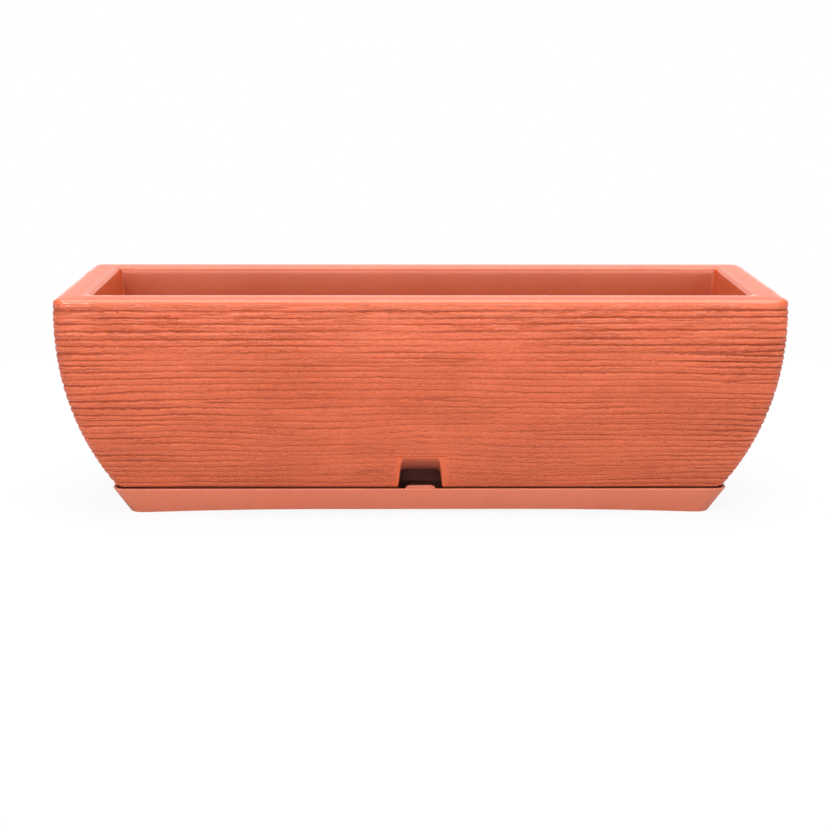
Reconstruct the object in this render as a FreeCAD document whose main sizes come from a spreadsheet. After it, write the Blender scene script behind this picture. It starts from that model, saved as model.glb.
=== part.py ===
import FreeCAD, Part
import math
import os
import re

import Sketcher
from FreeCAD import Vector

# Window box planter: a long moulded trough that stands in its own drip tray.
#
# Frame: millimetres, +X along the planter, -Y towards the front, +Z up, origin on the ground
# below the middle. The front and the back are alike.
#
# The four walls of the trough are barrel-shaped: each is an arc that stands upright a little
# below the rim and curves in towards the base. The rim is a wide flat band that turns down
# inside as a lip, open below. A pocket is moulded into the foot of the front and back walls,
# and the tray reaches up into each pocket with a hollow lug that keeps the trough in its place.
# The trough stands on ribs on the tray's floor, and drains into the tray through its own floor.

SIZES = {
    "planter_length": (600, "length over the end walls at their widest level"),
    "planter_depth": (212, "front to back over the long walls at their widest level"),
    "planter_height": (193, "ground to the top of the rim"),
    "wall_radius": (292, "radius of the arc of the walls, seen in section"),
    "widest_drop": (21, "from the rim's top down to the level where the walls stand upright"),
    "corner_radius": (10, "rounding of the four upright corners of the trough"),
    "trough_wall": (3.5, "thickness of the trough's walls, floor, rim and lip"),
    "base_level": (12, "ground to the underside of the trough's floor"),
    "base_round": (5, "rounding of the edge below the trough's walls"),
    "rim_width": (27.6, "width of the flat rim, from the outside to the opening"),
    "rim_outer_round": (4, "rounding of the rim's outer edge"),
    "rim_inner_round": (3, "rounding of the rim's inner edge"),
    "lip_drop": (45, "from the rim's top down to the lip's lower edge"),
    "lip_lean": (5, "degrees by which the lip leans into the opening"),
    "opening_corner": (3, "rounding of the upright corners of the opening"),
    "pocket_foot_width": (37, "width of a pocket at the tray's top edge"),
    "pocket_head_width": (31, "width of a pocket at its upper end"),
    "pocket_head_level": (55, "ground to the upper end of a pocket"),
    "pocket_depth": (17.5, "depth of a pocket at the tray's top edge"),
    "pocket_scoop": (40, "radius of the scooped ceiling of a pocket"),
    "pocket_corner": (4, "rounding of the edges between a pocket's sides and its back"),
    "drain_diameter": (10, "diameter of a drain hole"),
    "drain_pitch": (100, "distance between two drain holes"),
    "drain_count": (5, "number of drain holes"),
    "tray_height": (24, "ground to the tray's top edge"),
    "tray_lean": (28, "degrees by which the tray's walls lean outwards"),
    "tray_wall": (2.5, "thickness of the tray's walls and floor"),
    "tray_gap": (0.5, "gap between the tray's top edge and the trough"),
    "tray_corner": (11, "rounding of the four upright corners of the tray"),
    "tray_edge_round": (0.8, "rounding of the tray's top edge"),
    "tray_floor_level": (6, "ground to the top of the tray's floor"),
    "skirt_width": (3, "width of the edge on which the tray stands"),
    "arch_rise": (3, "how far the tray's lower edge is arched clear of the ground"),
    "arch_span": (470, "length of the arch along the tray"),
    "arch_flat": (180, "length of the straight middle of the arch"),
    "rib_length": (120, "length of a rib on the tray's floor"),
    "rib_width": (3, "thickness of a rib"),
    "rib_offset": (28, "distance of a rib from the middle of the tray"),
    "rib_pitch": (150, "distance between two ribs of a row"),
    "rib_count": (3, "number of ribs in a row"),
    "lug_width": (25.6, "width of a lug"),
    "lug_reach": (8.5, "thickness of a lug, from its front to its back"),
    "lug_rise": (3.6, "how far a lug stands above the tray's top edge"),
    "lug_root_level": (9, "ground to the lower end of a lug"),
    "lug_setback": (0.8, "step from the tray's outside back to the front of a lug"),
    "lug_shoulder": (4.5, "rounding of the two shoulders of a lug"),
    "lug_back_round": (3, "rounding of the two edges at a lug's back"),
    "lug_wall": (2, "thickness of a lug's front and back"),
    "lug_slot_width": (20, "width of the slot down into a lug"),
    "lug_slot_level": (14, "ground to the bottom of the slot"),
}

# Values that follow from the sizes above. An inset is a distance inwards from the widest
# outline of the trough.
DERIVED = {
    "widest_level": "planter_height - widest_drop",
    "seam_inset": "wall_radius - sqrt(wall_radius ^ 2 - (widest_level - tray_height) ^ 2)",
    "lip_wall_across": "trough_wall / cos(lip_lean * 1 deg)",
    "pocket_back": "planter_depth / 2 - seam_inset - pocket_depth",
    "pocket_flare": "(pocket_foot_width - pocket_head_width) / 2 / (pocket_head_level - tray_height)",
    "pocket_head_inset": "wall_radius - sqrt(wall_radius ^ 2 - (widest_level - pocket_head_level) ^ 2)",
    "scoop_run": "planter_depth / 2 - pocket_head_inset - pocket_back",
    "scoop_centre_level": "pocket_head_level + sqrt(pocket_scoop ^ 2 - scoop_run ^ 2)",
    "tray_wall_across": "tray_wall / cos(tray_lean * 1 deg)",
    "tray_top_inset": "seam_inset - tray_gap - tray_wall_across",
    "tray_foot_inset": "tray_top_inset + tray_height * tan(tray_lean * 1 deg)",
    "tray_foot_half_length": "planter_length / 2 - tray_foot_inset",
    "tray_foot_half_depth": "planter_depth / 2 - tray_foot_inset",
    "arch_run": "(arch_span - arch_flat) / 2",
    "arch_radius": "(arch_run ^ 2 + arch_rise ^ 2) / (2 * arch_rise)",
    "lug_top_level": "tray_height + lug_rise",
    "lug_wall_across": "lug_wall / cos(tray_lean * 1 deg)",
}

OVERSHOOT = "2"  # how far a cutting form reaches past the solid that it cuts

START, END, CENTRE = range(1, 4)  # the points of a sketch element
ORIGIN = (-1, START)  # a sketch's own origin
UPRIGHT_AXIS = -2  # a sketch's own second axis
SKETCH_NORMAL = Vector(0, 0, 1)


def make_sheet():
    """Write the sizes and what follows from them into a spreadsheet, an alias for each."""
    table = doc.addObject("Spreadsheet::Sheet", "Sizes")
    cells = [(alias, str(number), meaning) for alias, (number, meaning) in SIZES.items()]
    cells += [(alias, "=" + formula, "follows from the sizes") for alias, formula in DERIVED.items()]
    for row, (alias, content, meaning) in enumerate(cells, 1):
        table.set(f"A{row}", alias)
        table.set(f"B{row}", content)
        table.set(f"C{row}", meaning)
        table.setAlias(f"B{row}", alias)
    doc.recompute()
    return table


doc = FreeCAD.newDocument("WindowBoxPlanter")
sheet = make_sheet()


def sized(formula):
    """Return a formula with each alias in it written as a reference to the sheet."""
    known = set(SIZES) | set(DERIVED)
    return re.sub(r"[a-z_]+", lambda word: ("Sizes." if word[0] in known else "") + word[0], formula)


def value(formula):
    """Work a formula out to a plain number."""
    number = sheet.evalExpression(sized(formula))
    return float(getattr(number, "Value", number))


# ---------------------------------------------------------------- sketches

def new_body(name):
    return doc.addObject("PartDesign::Body", name)


def new_sketch(body, name, plane, level="0", along="0", across="0"):
    """Add a sketch on one of the body's own planes, moved along its normal to a level and,
    within the plane, along and across to where the drawing has its middle."""
    sketch = body.newObject("Sketcher::SketchObject", name)
    origin_plane = next(item for item in body.Origin.OriginFeatures if item.Role == plane)
    sketch.AttachmentSupport = [(origin_plane, "")]
    sketch.MapMode = "FlatFace"
    for axis, formula in (("x", along), ("y", across), ("z", level)):
        sketch.setExpression("AttachmentOffset.Base." + axis, sized(formula))
    return sketch


def dimension(sketch, name, kind, where, formula):
    """Add a driving dimension, named and bound to a formula on the sheet."""
    index = sketch.addConstraint(Sketcher.Constraint(kind, *where, value(formula)))
    sketch.renameConstraint(index, name)
    sketch.setExpression("Constraints." + name, sized(formula))


def place(sketch, name, point, x=None, y=None):
    """Fix a point's distances from the sketch's origin by formulas of either sign."""
    for axis, formula in (("X", x), ("Y", y)):
        if formula is None:
            continue
        if value(formula) < 0:
            dimension(sketch, f"{name}_{axis}", "Distance" + axis, (*point, *ORIGIN), f"-({formula})")
        else:
            dimension(sketch, f"{name}_{axis}", "Distance" + axis, (*ORIGIN, *point), formula)


def join(sketch, kind, *pairs):
    """Put the same constraint on several pairs of points."""
    for first, second in pairs:
        sketch.addConstraint(Sketcher.Constraint(kind, *first, *second))


def draw_line(sketch, a, b, helper=False):
    return sketch.addGeometry(Part.LineSegment(Vector(*a, 0), Vector(*b, 0)), helper)


def draw_arc(sketch, centre, radius, begin, end):
    circle = Part.Circle(Vector(*centre, 0), SKETCH_NORMAL, radius)
    return sketch.addGeometry(Part.ArcOfCircle(circle, begin, end))


def polygon(sketch, name, corners):
    """Draw a closed outline of straight lines, each corner placed by two formulas."""
    points = [(value(x), value(y)) for x, y in corners]
    lines = [draw_line(sketch, a, b) for a, b in zip(points, points[1:] + points[:1])]
    join(sketch, "Coincident", *(((a, END), (b, START)) for a, b in zip(lines, lines[1:] + lines[:1])))
    for line, (x, y) in zip(lines, corners):
        place(sketch, f"{name}_{line}", (line, START), x, y)


def rounded_rectangle(sketch, half_length, half_depth, radius):
    """Draw a rectangle with rounded corners about the sketch's origin."""
    a, b, r = value(half_length), value(half_depth), value(radius)
    sides = [draw_line(sketch, (r - a, -b), (a - r, -b)), draw_line(sketch, (a, r - b), (a, b - r)),
             draw_line(sketch, (a - r, b), (r - a, b)), draw_line(sketch, (-a, b - r), (-a, r - b))]
    centres = [(a - r, r - b), (a - r, b - r), (r - a, b - r), (r - a, r - b)]
    quarter = math.pi / 2
    arcs = [draw_arc(sketch, centre, r, (i - 1) * quarter, i * quarter) for i, centre in enumerate(centres)]
    for i, arc in enumerate(arcs):
        join(sketch, "Tangent", ((sides[i], END), (arc, START)), ((arc, END), (sides[(i + 1) % 4], START)))
        sketch.addConstraint(Sketcher.Constraint("Vertical" if i % 2 else "Horizontal", sides[i]))
    for arc in arcs[1:]:
        sketch.addConstraint(Sketcher.Constraint("Equal", arcs[0], arc))
    sketch.addConstraint(Sketcher.Constraint("Symmetric", arcs[0], CENTRE, arcs[2], CENTRE, *ORIGIN))
    dimension(sketch, "radius", "Radius", (arcs[0],), radius)
    place(sketch, "half_length", (sides[1], START), x=half_length)
    place(sketch, "half_depth", (sides[2], START), y=half_depth)


def barrel_outline(sketch, half_width, radius, low, high):
    """Draw the upright section of a barrel-shaped form: flat below and above, and on either
    side an arc whose spoke lies at the widest level."""
    half, r, z0, z1, widest = (value(text) for text in (half_width, radius, low, high, "widest_level"))
    centre = half - r
    begin, end = (math.asin((level - widest) / r) for level in (z0, z1))
    x0, x1 = centre + r * math.cos(begin), centre + r * math.cos(end)
    right = draw_arc(sketch, (centre, widest), r, begin, end)
    left = draw_arc(sketch, (-centre, widest), r, math.pi - end, math.pi - begin)
    bottom = draw_line(sketch, (-x0, z0), (x0, z0))
    top = draw_line(sketch, (x1, z1), (-x1, z1))
    spoke = draw_line(sketch, (centre, widest), (half, widest), helper=True)
    join(sketch, "Coincident", ((bottom, END), (right, START)), ((right, END), (top, START)),
         ((top, END), (left, START)), ((left, END), (bottom, START)), ((spoke, START), (right, CENTRE)))
    for line in (bottom, top):
        sketch.addConstraint(Sketcher.Constraint("Symmetric", line, START, line, END, UPRIGHT_AXIS))
    sketch.addConstraint(Sketcher.Constraint("Horizontal", spoke))
    sketch.addConstraint(Sketcher.Constraint("PointOnObject", spoke, END, right))
    sketch.addConstraint(Sketcher.Constraint("Equal", left, right))
    dimension(sketch, "radius", "Radius", (right,), radius)
    place(sketch, "widest", (spoke, END), half_width, "widest_level")
    place(sketch, "low", (bottom, START), y=low)
    place(sketch, "high", (top, START), y=high)


# ---------------------------------------------------------------- features

def extrude(body, kind, name, sketch, length, both_ways=False, reverse=False):
    """Pad or pocket a sketch by a length, and check that the solid gained or lost material."""
    before = body.Shape.Volume if body.Tip else 0
    feature = body.newObject("PartDesign::" + kind, name)
    feature.Profile = sketch
    feature.setExpression("Length", sized(length))
    feature.Midplane = both_ways
    feature.Reversed = reverse
    doc.recompute()
    if (feature.Shape.Volume > before) != (kind == "Pad"):
        raise ValueError(f"{name} points away from the solid")
    return feature


def leaning_walls(body, kind, name, half_length, half_depth, radius, lean, low, high):
    """Span a rounded outline at a low level and a wider one at a high level with walls that
    lean outwards, as added or as removed material. The half sizes hold at the ground."""
    outlines = []
    for end, level in (("lower", low), ("upper", high)):
        spread = f"({level}) * tan({lean} * 1 deg)"
        outlines.append(new_sketch(body, f"{name}_{end}", "XY_Plane", level))
        rounded_rectangle(outlines[-1], f"{half_length} + {spread}", f"{half_depth} + {spread}", radius)
    feature = body.newObject(f"PartDesign::{kind}Loft", name)
    feature.Profile, feature.Sections, feature.Ruled = outlines[0], outlines[1:], True
    doc.recompute()
    return feature


def row(body, name, feature, pitch, count):
    """Repeat a feature along the planter."""
    pattern = body.newObject("PartDesign::LinearPattern", name)
    pattern.Originals = [feature]
    pattern.Direction = (feature.Profile[0], ["H_Axis"])
    pattern.setExpression("Length", sized(f"{pitch} * ({count} - 1)"))
    pattern.setExpression("Occurrences", sized(count))
    body.Tip = pattern
    doc.recompute()
    return pattern


def fillet(body, name, base, radius, wanted):
    """Round the edges of a feature that a test picks out."""
    edges = [f"Edge{i}" for i, edge in enumerate(base.Shape.Edges, 1) if wanted(edge.BoundBox)]
    if not edges:
        raise ValueError(f"{name} finds no edge to round")
    feature = body.newObject("PartDesign::Fillet", name)
    feature.Base = (base, edges)
    feature.setExpression("Radius", sized(radius))
    doc.recompute()
    return feature


def is_upright(box):
    return box.ZLength > 1


def lies_at(box, level):
    """Tell whether an edge's box lies flat at a level."""
    return max(abs(box.ZMin - value(level)), abs(box.ZMax - value(level))) < 1e-4


def reach_across(box):
    """Return how far an edge's box reaches to the front or the back of the middle."""
    return max(-box.YMin, box.YMax)


def boolean(kind, name, base, tool):
    """Cut a tool from a base, or fuse the two."""
    feature = doc.addObject("Part::" + kind, name)
    feature.Base, feature.Tool = base, tool
    feature.Refine = False
    return feature


def mirrored_pair(name, front):
    """Fuse a form at the front with its mirror image at the back."""
    back = doc.addObject("Part::Mirroring", name + "_back")
    back.Source, back.Normal = front, Vector(0, 1, 0)
    return boolean("Fuse", name, front, back)


# ---------------------------------------------------------------- the trough

def barrel_form(name, inset, low, high, corner):
    """Make a solid whose four sides are barrel-shaped, by trimming one extruded section with
    another at right angles to it. The inset moves all the walls inwards."""
    body = new_body(name)
    radius = f"wall_radius - {inset}"
    front_view = new_sketch(body, name + "_front_view", "XZ_Plane")
    barrel_outline(front_view, f"planter_length / 2 - {inset}", radius, low, high)
    extrude(body, "Pad", name + "_block", front_view, "planter_depth", both_ways=True)
    side_view = new_sketch(body, name + "_side_view", "YZ_Plane")
    barrel_outline(side_view, f"planter_depth / 2 - {inset}", radius, low, high)
    near, far = "-planter_depth", "planter_depth"
    under, over = "-planter_height", "planter_height * 2"
    polygon(side_view, "surround", [(near, under), (far, under), (far, over), (near, over)])
    trimmed = extrude(body, "Pocket", name + "_trimmed", side_view, "planter_length * 2", both_ways=True)
    corners = fillet(body, name + "_corners", trimmed, corner, is_upright)
    foot = fillet(body, name + "_foot", corners, "base_round", lambda box: lies_at(box, low))
    return body, foot


def opening_form(name, growth, corner, low, high):
    """Make the space inside the lip, or with a growth the outside of the lip."""
    inset = f"- rim_width - planter_height * tan(lip_lean * 1 deg) + {growth}"
    body = new_body(name)
    leaning_walls(body, "Additive", name + "_walls", "planter_length / 2 " + inset,
                  "planter_depth / 2 " + inset, corner, "lip_lean", low, high)
    return body


def pocket_form(name, growth):
    """Make the space of the front pocket, or with a growth the outside of its walls. In front
    view it narrows upwards; in side view its back is upright and its ceiling is a scoop."""
    body = new_body(name)
    low, high = "base_level - " + OVERSHOOT, f"pocket_head_level + pocket_corner + {growth}"
    half = f"pocket_head_width / 2 + {growth} + pocket_flare * (pocket_head_level - ({{}}))"
    front_view = new_sketch(body, name + "_front_view", "XZ_Plane", f"pocket_back - {growth}")
    polygon(front_view, "side", [(f"-({half.format(low)})", low), (half.format(low), low),
                                 (half.format(high), high), (f"-({half.format(high)})", high)])
    extrude(body, "Pad", name + "_block", front_view, f"planter_depth / 2 - pocket_back + {growth}")
    side_view = new_sketch(body, name + "_side_view", "YZ_Plane")
    scoop_outline(side_view, growth)
    scooped = extrude(body, "Pocket", name + "_scooped", side_view, "planter_length", both_ways=True)
    return body, scooped


def scoop_outline(sketch, growth):
    """Draw the side view of what lies above a pocket's ceiling: an arc that rises from the
    pocket's back to just past the wall's outside, closed by straight lines above."""
    radius, end_level = f"pocket_scoop - {growth}", f"pocket_head_level + {growth} + {OVERSHOOT}"
    middle, centre_level, r = value("-pocket_back"), value("scoop_centre_level"), value(radius)
    drop = centre_level - value(end_level)
    run = math.sqrt(r ** 2 - drop ** 2)
    behind, ahead, above = f"{growth} + {OVERSHOOT} - pocket_back", "-planter_depth", "planter_height"
    points = [(middle, centre_level - r), (value(behind), centre_level - r), (value(behind), value(above)),
              (value(ahead), value(above)), (value(ahead), value(end_level)),
              (middle - run, value(end_level))]
    lines = [draw_line(sketch, a, b) for a, b in zip(points, points[1:])]
    scoop = draw_arc(sketch, (middle, centre_level), r, math.pi + math.asin(drop / r), 3 * math.pi / 2)
    join(sketch, "Coincident", *(((a, END), (b, START)) for a, b in zip(lines, lines[1:])),
         ((lines[-1], END), (scoop, START)), ((scoop, END), (lines[0], START)))
    for line in (lines[0], lines[2], lines[4]):
        sketch.addConstraint(Sketcher.Constraint("Horizontal", line))
    for line in (lines[1], lines[3]):
        sketch.addConstraint(Sketcher.Constraint("Vertical", line))
    dimension(sketch, "radius", "Radius", (scoop,), radius)
    place(sketch, "centre", (scoop, CENTRE), "-pocket_back", "scoop_centre_level")
    place(sketch, "lowest", (lines[0], START), x="-pocket_back")
    place(sketch, "behind", (lines[1], END), behind, above)
    place(sketch, "ahead", (lines[3], END), ahead, end_level)


def make_trough():
    """Hollow the barrel-shaped form out, leave the lip and the pockets' walls standing in the
    hollow, cut the pockets, drill the floor and round the rim."""
    outside, foot = barrel_form("outside", "0", "base_level", "planter_height", "corner_radius")
    fillet(outside, "outside_rim", foot, "rim_outer_round", lambda box: lies_at(box, "planter_height"))
    core, _ = barrel_form("core", "trough_wall", "base_level + trough_wall",
                          "planter_height - trough_wall", "corner_radius - trough_wall")
    lip_outside = opening_form("lip_outside", "lip_wall_across", "opening_corner + trough_wall",
                               "planter_height - lip_drop", "planter_height")
    opening = opening_form("opening", "0", "opening_corner",
                           f"planter_height - lip_drop - {OVERSHOOT}", f"planter_height + {OVERSHOOT}")
    space = boolean("Fuse", "space", boolean("Cut", "space_around_lip", core, lip_outside), opening)
    pocket_walls, _ = pocket_form("pocket_walls_front", "trough_wall")
    planting_space = boolean("Cut", "planting_space", space, mirrored_pair("pocket_walls", pocket_walls))
    pocket, scooped = pocket_form("pocket_front", "0")
    wall_outside = value("1 - planter_depth / 2")
    fillet(pocket, "pocket_corners", scooped, "pocket_corner",
           lambda box: is_upright(box) and box.YMin > wall_outside)
    pockets = mirrored_pair("pockets", pocket)
    hollow = boolean("Cut", "hollow_form", outside, planting_space)
    body = new_body("trough")
    body.BaseFeature = boolean("Cut", "trough_shell", hollow, pockets)
    doc.recompute()
    drain = new_sketch(body, "drain_outline", "XY_Plane", f"base_level + trough_wall + {OVERSHOOT}",
                       along="drain_pitch * (1 - drain_count) / 2")
    draw_circle(drain, "drain_diameter / 2")
    first = extrude(body, "Pocket", "drain", drain, f"trough_wall + 2 * {OVERSHOOT}")
    drains = row(body, "drains", first, "drain_pitch", "drain_count")
    middle_of_rim = value("(planter_depth - rim_width) / 2")
    fillet(body, "rim_inner_edge", drains, "rim_inner_round",
           lambda box: lies_at(box, "planter_height") and reach_across(box) < middle_of_rim)
    return body


def draw_circle(sketch, radius):
    """Draw a circle about the sketch's origin."""
    circle = sketch.addGeometry(Part.Circle(Vector(0, 0, 0), SKETCH_NORMAL, value(radius)))
    join(sketch, "Coincident", ((circle, CENTRE), ORIGIN))
    dimension(sketch, "radius", "Radius", (circle,), radius)


# ---------------------------------------------------------------- the drip tray

def arch_outline(sketch):
    """Draw the front view of the arch below the tray: straight in the middle, with a long
    tangent arc down to the ground on either side, and closed below the ground."""
    half, flat, rise, r = (value(text) for text in
                           ("arch_span / 2", "arch_flat / 2", "arch_rise", "arch_radius"))
    swing = math.asin((half - flat) / r)
    crown = draw_line(sketch, (flat, rise), (-flat, rise))
    right = draw_arc(sketch, (flat, rise - r), r, math.pi / 2 - swing, math.pi / 2)
    left = draw_arc(sketch, (-flat, rise - r), r, math.pi / 2, math.pi / 2 + swing)
    under = value("-" + OVERSHOOT)
    points = [(-half, 0), (-half, under), (half, under), (half, 0)]
    lines = [draw_line(sketch, a, b) for a, b in zip(points, points[1:])]
    join(sketch, "Coincident", ((lines[0], END), (lines[1], START)), ((lines[1], END), (lines[2], START)),
         ((lines[2], END), (right, START)), ((left, END), (lines[0], START)))
    join(sketch, "Tangent", ((right, END), (crown, START)), ((crown, END), (left, START)))
    for line in (crown, lines[1]):
        sketch.addConstraint(Sketcher.Constraint("Symmetric", line, START, line, END, UPRIGHT_AXIS))
    for line in (lines[0], lines[2]):
        sketch.addConstraint(Sketcher.Constraint("Vertical", line))
    sketch.addConstraint(Sketcher.Constraint("Equal", right, left))
    place(sketch, "crown", (crown, START), "arch_flat / 2", "arch_rise")
    place(sketch, "under", (lines[1], END), "arch_span / 2", "-" + OVERSHOOT)
    dimension(sketch, "radius", "Radius", (right,), "arch_radius")


def make_dish():
    """Make the tray's walls, floor and ribs, and arch the lower edge of its long sides."""
    body = new_body("dish")
    half_length, half_depth = "tray_foot_half_length", "tray_foot_half_depth"
    leaning_walls(body, "Additive", "dish_outside", half_length, half_depth, "tray_corner",
                  "tray_lean", "0", "tray_height")
    hollow = leaning_walls(body, "Subtractive", "dish_hollow", half_length + " - tray_wall_across",
                           half_depth + " - tray_wall_across", "tray_corner - tray_wall",
                           "tray_lean", "tray_floor_level", "tray_height + " + OVERSHOOT)
    fillet(body, "dish_edge", hollow, "tray_edge_round", lambda box: lies_at(box, "tray_height"))
    underside = new_sketch(body, "underside_outline", "XY_Plane")
    rounded_rectangle(underside, half_length + " - skirt_width", half_depth + " - skirt_width",
                      "tray_corner - skirt_width")
    extrude(body, "Pocket", "underside", underside, "tray_floor_level - tray_wall", reverse=True)
    arch = new_sketch(body, "arch_outline", "XZ_Plane")
    arch_outline(arch)
    extrude(body, "Pocket", "arch", arch, "planter_depth", both_ways=True)
    for side, sign in (("front", "-"), ("back", "")):
        outline = new_sketch(body, f"rib_{side}_outline", "XY_Plane", "tray_floor_level",
                             along="rib_pitch * (1 - rib_count) / 2", across=sign + "rib_offset")
        rounded_rectangle(outline, "rib_length / 2", "rib_width / 2", "rib_width / 3")
        rib = extrude(body, "Pad", f"rib_{side}", outline, "base_level - tray_floor_level")
        row(body, f"ribs_{side}", rib, "rib_pitch", "rib_count")
    return body


def make_lug():
    """Make the front lug: a hollow tongue that leans with the tray's wall, with rounded
    shoulders, open above."""
    body = new_body("lug_front")
    wall = "-tray_foot_half_depth - ({}) * tan(tray_lean * 1 deg) + {}"
    front, back = "lug_setback", "lug_setback + lug_reach"
    low, high = "lug_root_level", "lug_top_level"
    outline = new_sketch(body, "lug_outline", "YZ_Plane")
    polygon(outline, "corner", [(wall.format(low, front), low), (wall.format(low, back), low),
                                (wall.format(high, back), high), (wall.format(high, front), high)])
    tongue = extrude(body, "Pad", "tongue", outline, "lug_width", both_ways=True)
    rounded = fillet(body, "tongue_shoulders", tongue, "lug_shoulder",
                     lambda box: lies_at(box, high) and box.XLength < 1e-3)
    rear = value(wall.format(low, back)) - 1e-3
    fillet(body, "tongue_back", rounded, "lug_back_round",
           lambda box: is_upright(box) and box.YMax > rear)
    front, back = front + " + lug_wall_across", back + " - lug_wall_across"
    low, high = "lug_slot_level", "lug_top_level + " + OVERSHOOT
    slot = new_sketch(body, "slot_outline", "YZ_Plane")
    polygon(slot, "corner", [(wall.format(low, front), low), (wall.format(low, back), low),
                             (wall.format(high, back), high), (wall.format(high, front), high)])
    extrude(body, "Pocket", "slot", slot, "lug_slot_width", both_ways=True)
    return body


def make_tray():
    return boolean("Fuse", "drip_tray", make_dish(), mirrored_pair("lugs", make_lug()))


# ---------------------------------------------------------------- checks and files

def check(items):
    """Stop if an object failed to compute, or if a piece isn't one whole solid."""
    for item in doc.Objects:
        if "Invalid" in item.State or "Error" in item.State:
            raise ValueError(f"{item.Name} failed: {item.getStatusString()}")
    for item in items:
        if item.Shape.isNull() or not item.Shape.isValid() or len(item.Shape.Solids) != 1:
            raise ValueError(f"{item.Name} is not one valid solid")


pieces = [make_trough(), make_tray()]
doc.recompute()
for piece in pieces:
    piece.Label = piece.Name
check(pieces)
os.makedirs("parts", exist_ok=True)
for piece in pieces:
    piece.Shape.exportStep(f"parts/{piece.Label}.step")
    print(f"{piece.Label}: {piece.Shape.Volume / 1000:.0f} cm3")
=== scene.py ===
import logging
import math
from dataclasses import dataclass, field, fields, replace
from enum import Enum
from typing import Any, Callable, Optional, Sequence, Union

import bpy
import numpy as np
from mathutils import Matrix, Vector


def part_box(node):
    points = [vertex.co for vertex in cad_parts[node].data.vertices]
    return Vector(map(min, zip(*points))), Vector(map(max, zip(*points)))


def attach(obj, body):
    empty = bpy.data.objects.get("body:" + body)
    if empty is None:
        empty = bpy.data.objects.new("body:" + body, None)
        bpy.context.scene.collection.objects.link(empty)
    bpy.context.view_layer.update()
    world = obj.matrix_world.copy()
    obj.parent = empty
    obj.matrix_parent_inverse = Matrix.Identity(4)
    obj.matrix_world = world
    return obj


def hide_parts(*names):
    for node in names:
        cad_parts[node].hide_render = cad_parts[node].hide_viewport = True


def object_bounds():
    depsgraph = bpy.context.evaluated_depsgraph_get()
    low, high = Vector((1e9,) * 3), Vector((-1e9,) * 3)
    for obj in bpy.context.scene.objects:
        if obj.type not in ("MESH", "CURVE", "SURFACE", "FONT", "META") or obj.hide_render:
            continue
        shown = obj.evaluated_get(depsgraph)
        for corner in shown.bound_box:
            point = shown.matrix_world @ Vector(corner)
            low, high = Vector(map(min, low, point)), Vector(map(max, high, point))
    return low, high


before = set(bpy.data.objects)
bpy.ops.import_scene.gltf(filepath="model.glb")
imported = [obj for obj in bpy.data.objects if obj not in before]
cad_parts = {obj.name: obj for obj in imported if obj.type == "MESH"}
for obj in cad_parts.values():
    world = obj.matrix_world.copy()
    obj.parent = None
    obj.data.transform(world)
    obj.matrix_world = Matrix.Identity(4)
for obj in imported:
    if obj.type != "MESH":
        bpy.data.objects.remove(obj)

CAD_BOX = [list(corner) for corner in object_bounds()]
LOG = logging.getLogger("planter")
MM = 0.001
Array = np.ndarray


class Body(Enum):
    """The two bodies that can be taken apart."""

    TROUGH = "trough"
    TRAY = "tray"


class Slot(Enum):
    """The record's material slots."""

    GRAINED = "grained_plastic"
    SMOOTH = "smooth_plastic"


# ---- shader maths

def operator(operation: str, swapped: bool = False) -> Callable:
    """Return a method that adds a Math node on a socket and a term, or the other way round."""

    def method(self: "Sum", other: "Term") -> "Sum":
        """Add the node."""
        return self.tree.maths(operation, *((other, self) if swapped else (self, other)))

    return method


@dataclass(frozen=True)
class Sum:
    """One output socket of a node tree, on which Python's operators add Math nodes."""

    tree: "Nodes"
    socket: Any

    __add__ = __radd__ = operator("ADD")
    __mul__ = __rmul__ = operator("MULTIPLY")
    __sub__ = operator("SUBTRACT")
    __rsub__ = operator("SUBTRACT", swapped=True)
    __truediv__ = operator("DIVIDE")
    __pow__ = operator("POWER")

    def __abs__(self) -> "Sum":
        """Drop the sign."""
        return self.tree.maths("ABSOLUTE", self, 0.0)

    def clipped(self) -> "Sum":
        """Limit to the range from 0 to 1."""
        return self.tree.maths("ADD", self, 0.0, clip=True)

    def ramped(self, low: float, high: float) -> "Sum":
        """Rise from 0 at low to 1 at high along a straight line, and stay there."""
        return ((self - low) * (1.0 / (high - low))).clipped()


Term = Union[Sum, float]
Colour = tuple[float, float, float]
Span = tuple[float, float]


def linear(red: int, green: int, blue: int) -> Colour:
    """Return a screen colour of 0 to 255 a channel as the linear colour that shaders take:
    a channel's share of 255, plus 0.055, over 1.055, to the power 2.4."""
    return tuple(((channel / 255 + 0.055) / 1.055) ** 2.4 for channel in (red, green, blue))


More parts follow.
